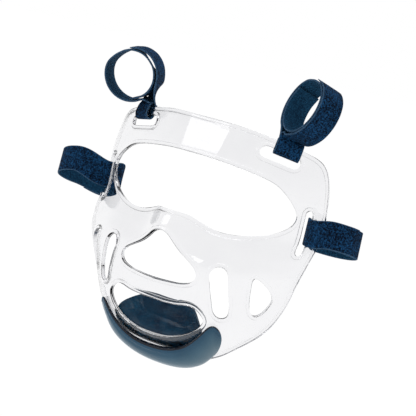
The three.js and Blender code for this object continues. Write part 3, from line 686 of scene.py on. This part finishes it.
def strip(name, C, Wd, K, side):
    """A tape through centres C with width directions Wd and widths K. side is +1 where the
    section's upper face is the inside of the loop."""
    n = len(C)
    T = unit(np.concatenate([[C[1] - C[0]], C[2:] - C[:-2], [C[-1] - C[-2]]]))
    Wd = unit(Wd - T * np.sum(Wd * T, 1)[:, None])
    H = np.cross(T, Wd)
    length = np.concatenate([[0], np.cumsum(np.linalg.norm(np.diff(C, axis=0), axis=1))])
    sec = section()
    m = len(sec)
    V, uv = [], []
    r = 0.62                                     # selvedge radius in mm, across
    edge_t = 1.0
    for i in range(n):
        half = K[i] / 2
        # the cut ends are pressed thin over their last few millimetres
        end = min(length[i], length[-1] - length[i])
        thin = 0.45 + 0.55 * min(1.0, end / 5.0)
        for p in sec:
            if p[2] == 2:
                a = p[0] * (half - r) + p[3] * r
                h = p[1] * TAPE_T / 2 * edge_t * thin
            else:
                a = p[0] * (half - r)
                g = abs(a) / half
                # a stitched line lies a little sunk just inside each selvedge
                h = p[1] * (TAPE_T / 2) * thin * (1.0 - 0.16 * math.exp(-((g - 0.86) / 0.045) ** 2))
            V.append(C[i] + Wd[i] * a + H[i] * h)
            uv.append((length[i], a + (0 if p[1] >= 0 else 0.37)))
    V = np.array(V)
    faces, kinds = [], []
    for i in range(n - 1):
        for k in range(m):
            l = (k + 1) % m
            faces.append((i * m + k, i * m + l, (i + 1) * m + l, (i + 1) * m + k))
            ka, kb = sec[k][2], sec[l][2]
            kinds.append(2 if (ka == 2 and kb == 2) else (ka if ka != 2 else kb))
    e = (n - 1) * m
    for base, rev in ((0, False), (e, True)):
        ring = [base + k for k in range(m)]
        faces.append(tuple(ring if not rev else ring[::-1]))
        kinds.append(2)
    # which face looks into the loop
    swap = {0: 1 if side > 0 else 0, 1: 0 if side > 0 else 1, 2: 2}
    kinds = [swap[k] for k in kinds]
    fixed = outward(V, faces)
    return mesh_object(name, V, fixed, uvs=uv, mats=[nap, hook, edge_highlight], face_mat=kinds), length[-1]


def top_loop(name, sx, bar, neck, width, radius, fork, inner_from, outer_to, sag, centre, axis):
    s0, z0 = bar * sx, 63.2 - (bar - 64.2) * 0.12
    p, ts, tz, nn = (v[0] for v in frames(np.array([s0]), np.array([z0])))
    slope = (TOP_SLOT["b"][1] - TOP_SLOT["a"][1]) / (TOP_SLOT["b"][0] - TOP_SLOT["a"][0])
    W0 = unit(ts * sx + tz * slope)
    P0 = unit(np.cross(nn, W0))
    if P0[2] < 0:
        P0 = -P0
    N0 = np.cross(W0, P0)
    B = p - nn * SHELL_T / 2
    C, A = np.array(centre, float), unit(np.array(axis, float))
    if A @ W0 < 0:
        A = -A
    Vl = unit(np.array(LEAN_TO))
    if Vl @ A < 0:
        Vl = -Vl
    P1 = C - B - P0 * 4.2
    P1 = unit(P1 - A * (P1 @ A))
    N1 = np.cross(A, P1)
    r, r1, half, between = radius, radius - WEB_T - LAP_GAP, 3.6, (width + neck) / 2

    def ring(deg, rad, lean=0.0, k=width):
        g = math.radians(deg)
        return (*(C + N1 * rad * math.sin(g) - P1 * rad * math.cos(g)), *unit(A * (1 - lean) + Vl * lean), k)

    path = []
    n = round((188 - inner_from) / 24)
    for i in range(n + 1):
        deg = inner_from + (188 - inner_from) * i / n
        k = math.sin(math.pi * (deg - 30) / 142) ** 2 if (sag > 0 and 30 < deg < 172) else 0
        path.append(ring(deg, r1 - sag * k, k))
    path += [ring(205, r1 + 0.7), ring(222, r - 0.35)]
    path += [ring(240 + (104 + fork[0]) * i / 5, r) for i in range(6)]
    path.append(ring(360 + fork[0], r + 0.2, 0, between))
    path += [(*(B + P0 * p + N0 * q), *W0, neck) for q, p in (
        (-1.9, half + 3.2), (-3.0, half + 0.4), (-3.4, half - 2.5), (-3.3, -half + 0.6), (-2.0, -half - 1.6), (0, -half - 2.4),
        (2.0, -half - 1.6), (3.3, -half + 0.6), (3.4, half - 2.5), (3.0, half + 0.4), (1.9, half + 3.2))]
    path.append(ring(fork[1], r + 0.2, 0, between))
    n = round((outer_to - fork[1] - 16) / 23)
    path += [ring(fork[1] + 16 + (outer_to - fork[1] - 16) * i / n, r - (0.6 if i == n else 0.35 if i == n - 1 else 0)) for i in range(n + 1)]
    st = catmull(path, False, 0.8)
    Cs, Ws, K = st[:, :3], st[:, 3:6], st[:, 6]
    i = len(Cs) // 4
    T = unit(Cs[i + 1] - Cs[i - 1])
    side = np.sign(np.cross(T, Ws[i]) @ (C - Cs[i]))
    return strip(name + "_tape", Cs, Ws, K, side)


def side_loop(name, sx, c, a, b, turn, tilt, seat, lift, slot, lap_from):
    t0 = math.radians(turn)
    E, Dp = np.array([math.cos(t0), math.sin(t0), 0]), np.array([-math.sin(t0), math.cos(t0), 0])
    p, ts, tz, nn = (v[0] for v in frames(np.array([SIDE_SLOT["a"][0] * sx]), np.array([7.5])))
    mid = p - nn * SHELL_T / 2
    c2 = np.array([mid[0] + c[0], mid[1] + c[1], 0])

    def at(deg, inward):
        t = math.radians(deg)
        u, d = (a - inward) * math.cos(t), (b - inward) * math.sin(t)
        P = c2 + E * u + Dp * d
        d_slot = (mid[0] - c2[0]) * Dp[0] + (mid[1] - c2[1]) * Dp[1]
        g = abs(((deg - slot + 540) % 360) - 180)
        free, k = float(smooth((g - 12) / 60)), math.radians(tilt)
        away = abs((P[0] - mid[0]) * E[0] + (P[1] - mid[1]) * E[1]) / 42
        P[2] = mid[2] - math.tan(k) * (d - d_slot) * (0.15 + 0.85 * free) + lift * float(smooth(1.4 * away)) + seat * (1 - float(smooth(away)))
        return P, unit(np.array([0, 0, 1.0]) + Dp * math.tan(k) * free)

    lap0, lap, N, gap = lap_from, 75, 190, WEB_T + LAP_GAP
    Cs, Ws = [], []
    for i in range(N + 1):
        deg = lap0 + (360 + lap) * i / N
        P, w = at(deg, gap * (1 - float(smooth((deg - lap0 - lap) / 34))))
        Cs.append(P)
        Ws.append(w)
    Cs, Ws = np.array(Cs), np.array(Ws)
    i = N // 3
    T = unit(Cs[i + 1] - Cs[i - 1])
    side = np.sign(np.cross(T, Ws[i]) @ (Cs.mean(0) - Cs[i]))
    return strip(name + "_tape", Cs, Ws, np.full(len(Cs), WEB_W), side)


for spec in TOP_LOOPS:
    o, _ = top_loop(**spec)
    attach(o, "root"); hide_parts(spec["name"])
for spec in SIDE_LOOPS:
    o, _ = side_loop(**spec)
    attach(o, "root"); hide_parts(spec["name"])

# --------------------------------------------------------------------- stage
scene = bpy.context.scene
bpy.ops.mesh.primitive_plane_add(size=24.0, location=(0, 0, -0.26))
floor = bpy.context.object
floor.name = "floor"
m, nt, b, out = new_material("floor_pale")
b.inputs["Base Color"].default_value = (0.06, 0.06, 0.06, 1)
b.inputs["Roughness"].default_value = 0.95
b.inputs["Specular IOR Level"].default_value = 0.0
b.inputs["Emission Color"].default_value = (1, 1, 1, 1)
b.inputs["Emission Strength"].default_value = 0.985
floor.data.materials.append(m)

world = bpy.data.worlds.new("studio")
scene.world = world
world.use_nodes = True
nt = world.node_tree
bg = nt.nodes["Background"]
tc = nt.nodes.new("ShaderNodeTexCoord")
sep = nt.nodes.new("ShaderNodeSeparateXYZ")
nt.links.new(tc.outputs["Generated"], sep.inputs[0])
height = ramp(nt, sep.outputs[2], [(0.0, (1.0, 1.0, 1.0)), (0.15, (1.0, 1.0, 1.0)), (0.42, (0.5, 0.5, 0.52)), (0.75, (0.34, 0.34, 0.36)), (1.0, (0.3, 0.3, 0.32))])
toward = node(nt, "ShaderNodeVectorMath", _operation="DOT_PRODUCT")       # 1 toward the backdrop, -1 away from it
nt.links.new(tc.outputs["Generated"], toward.inputs[0])
toward.inputs[1].default_value = (-0.437, 0.899, 0.0)
room = ramp(nt, math_node(nt, "MULTIPLY_ADD", toward.outputs["Value"], 0.5, 0.5), [(0.0, (0.86, 0.86, 0.87)), (0.36, (0.86, 0.86, 0.87)), (0.66, (0.97, 0.97, 0.97)), (0.76, (1.0, 1.0, 1.0))])
both = node(nt, "ShaderNodeVectorMath", _operation="MULTIPLY")
nt.links.new(height, both.inputs[0])
nt.links.new(room, both.inputs[1])
nt.links.new(both.outputs[0], bg.inputs["Color"])
bg.inputs["Strength"].default_value = 1.0


def area_light(name, loc, target, size, power, size_y=None, color=(1, 1, 1)):
    d = bpy.data.lights.new(name, "AREA")
    d.energy = power
    d.color = color
    d.shape = "RECTANGLE"
    d.size, d.size_y = size, size_y or size
    o = bpy.data.objects.new(name, d)
    o.location = loc
    o.rotation_euler = (Vector(target) - Vector(loc)).to_track_quat("-Z", "Y").to_euler()
    scene.collection.objects.link(o)
    return o


area_light("key", (0.1, 0.15, 1.9), (0, 0, 0), 1.6, 24)
soft = area_light("strip", (-0.425, -1.028, 0.733), (-0.098, -0.237, 0.215), 1.73, 3.0, 0.25)
soft.rotation_euler.rotate_axis("Z", math.radians(5.5))

# -------------------------------------------------------------------- camera
AZ, EL, ROLL = math.radians(25.932), math.radians(7.843), math.radians(13.089)
DIST, TARGET = 0.999376, Vector((0.003755, 0.040, 0.004779))
right = Vector((math.cos(AZ), math.sin(AZ), 0))
back = Vector((math.sin(AZ) * math.cos(EL), -math.cos(AZ) * math.cos(EL), math.sin(EL)))
up = back.cross(right)
cx = right * math.cos(ROLL) + up * math.sin(ROLL)
cy = -right * math.sin(ROLL) + up * math.cos(ROLL)
cam_data = bpy.data.cameras.new("camera")
cam_data.lens, cam_data.sensor_width = 36 * 1359.152 / 416, 36
cam_data.clip_start, cam_data.clip_end = 0.05, 30
cam = bpy.data.objects.new("camera", cam_data)
scene.collection.objects.link(cam)
rot = Matrix((cx, cy, back)).transposed().to_4x4()
cam.matrix_world = Matrix.Translation(TARGET + back * DIST) @ rot
scene.camera = cam
scene.view_settings.view_transform = "Standard"
scene.view_settings.look = "None"
